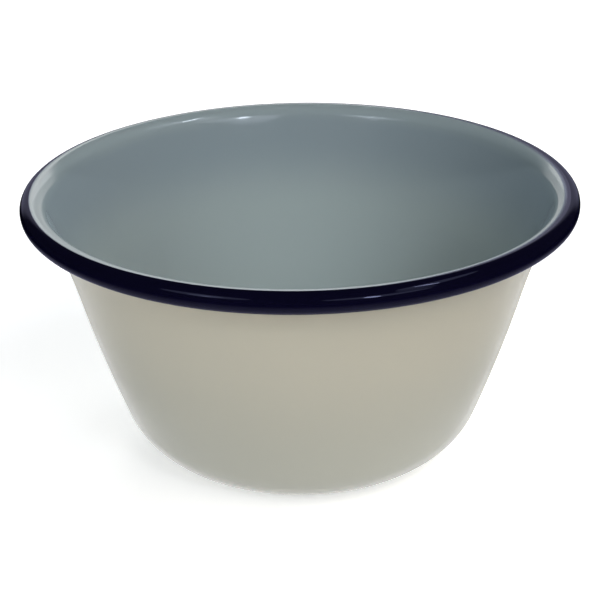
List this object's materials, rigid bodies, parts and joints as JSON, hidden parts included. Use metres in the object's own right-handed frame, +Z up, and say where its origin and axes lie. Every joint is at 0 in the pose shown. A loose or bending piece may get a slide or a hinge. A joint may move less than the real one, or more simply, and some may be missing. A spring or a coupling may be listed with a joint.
{
  "type": "enamel basin bowl",
  "caption": "Round enamelled steel basin bowl with a rounded base, tapered wall and curled rim, for mixing, serving or steaming food.",
  "frame": {"origin": "centre of the flat base, on the table", "axes": "+Z up along the bowl's axis, from the base to the open rim; X and Y are any two directions square to it"},
  "size_m": [0.16, 0.16, 0.0814],
  "materials": {
    "sheet_steel": "pressed sheet, hidden by the enamel",
    "ground_enamel": "dark ground enamel, hidden but for the curl's edge",
    "lining_enamel": "glossy blue-grey vitreous enamel",
    "outside_enamel": "glossy warm white vitreous enamel",
    "navy_enamel": "glossy navy vitreous enamel"
  },
  "bodies": {
    "root": {"steel_shell": "sheet_steel", "ground_coat_inside": "ground_enamel", "ground_coat_outside": "ground_enamel", "lining_coat": "lining_enamel", "outside_coat": "outside_enamel", "rim_band": "navy_enamel"}
  },
  "joints": []
}
